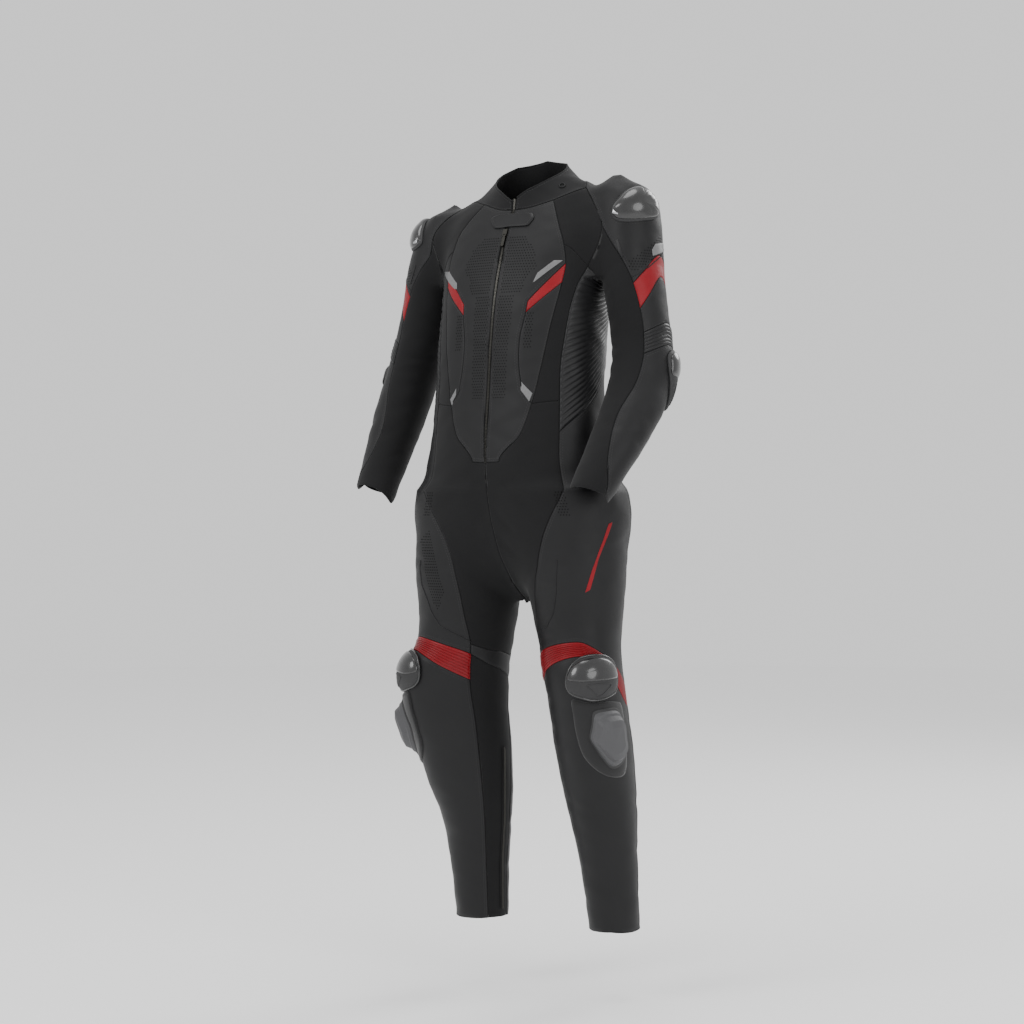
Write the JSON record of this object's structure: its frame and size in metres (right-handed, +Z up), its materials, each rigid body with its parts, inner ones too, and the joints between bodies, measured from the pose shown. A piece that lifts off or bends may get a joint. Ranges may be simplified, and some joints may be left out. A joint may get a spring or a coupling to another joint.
{
  "type": "motorcycle race suit",
  "caption": "One-piece leather race suit as worn: ribbed stretch panels, shoulder, elbow and knee cups, knee sliders, front zip and a short stand collar.",
  "frame": {"origin": "middle of the neck opening at shoulder height, where the wearer's shoulders hold the suit", "axes": "+Z up, -Y the front of the suit, +X the wearer's left"},
  "size_m": [0.659, 0.3055, 1.4674],
  "materials": {
    "leather_black": "fine-grained racing leather, satin",
    "leather_red": "dyed racing leather, satin",
    "rib_black": "leather sewn over elastic in ribs",
    "stretch_black": "tightly woven stretch fabric, matt",
    "cup_gloss": "glossy moulded shell",
    "hook_field": "loop field for the knee sliders",
    "slider_puck": "scuffed moulded puck",
    "zip_tape": "woven zip tape",
    "zip_metal": "cast zip slider, satin",
    "reflective_grey": "reflective film pressed on the leather",
    "thread_black": "bonded sewing thread",
    "plate_silver": "satin plate on the shoulder and knee cups"
  },
  "bodies": {
    "suit": {"bib_centre_l": "leather_black", "bib_centre_r": "leather_black", "bib_side_l": "leather_black", "bib_side_r": "leather_black", "shoulder_strip_l": "stretch_black", "shoulder_strip_r": "stretch_black", "front_strip_l": "stretch_black", "front_strip_r": "stretch_black", "front_stretch_l": "stretch_black", "front_stretch_r": "stretch_black", "side_rib_l": "rib_black", "side_rib_r": "rib_black", "chevron_l": "leather_red", "chevron_r": "leather_red", "thigh_l": "leather_black", "thigh_r": "leather_black", "seat_l": "leather_black", "seat_r": "leather_black", "knee_band_l": "leather_black", "knee_band_r": "leather_black", "calf_stretch_l": "stretch_black", "calf_stretch_r": "stretch_black", "calf_back_l": "leather_black", "calf_back_r": "leather_black", "knee_rib_l": "leather_red", "knee_rib_r": "leather_red", "shin_l": "leather_black", "shin_r": "leather_black", "shoulder_l": "leather_black", "shoulder_r": "leather_black", "arm_band_l": "leather_red", "arm_band_r": "leather_red", "upper_arm_l": "leather_black", "upper_arm_r": "leather_black", "elbow_rib_l": "rib_black", "elbow_rib_r": "rib_black", "forearm_l": "leather_black", "forearm_r": "leather_black", "sleeve_l": "stretch_black", "sleeve_r": "stretch_black", "shoulder_cup_l": "cup_gloss", "shoulder_cup_r": "cup_gloss", "elbow_cup_l": "cup_gloss", "elbow_cup_r": "cup_gloss", "knee_cup_l": "cup_gloss", "knee_cup_r": "cup_gloss", "knee_field_l": "hook_field", "knee_field_r": "hook_field", "knee_slider_l": "slider_puck", "knee_slider_r": "slider_puck", "calf_zip_l": "zip_tape", "calf_zip_r": "zip_tape", "back": "leather_black", "collar": "stretch_black", "zip_main": "zip_tape", "neck_tab": "leather_black", "zip_slider": "zip_metal"},
    "zip_pull": {"pull_tab": "zip_metal"}
  },
  "joints": [
    {"name": "zip_pull_hinge", "type": "hinge", "parent": "suit", "child": "zip_pull", "pos_m": [0.00271, -0.10952, -0.08578], "axis": [-0.9993, -0.0364, -0.0025], "range_deg": [0, 115]}
  ]
}
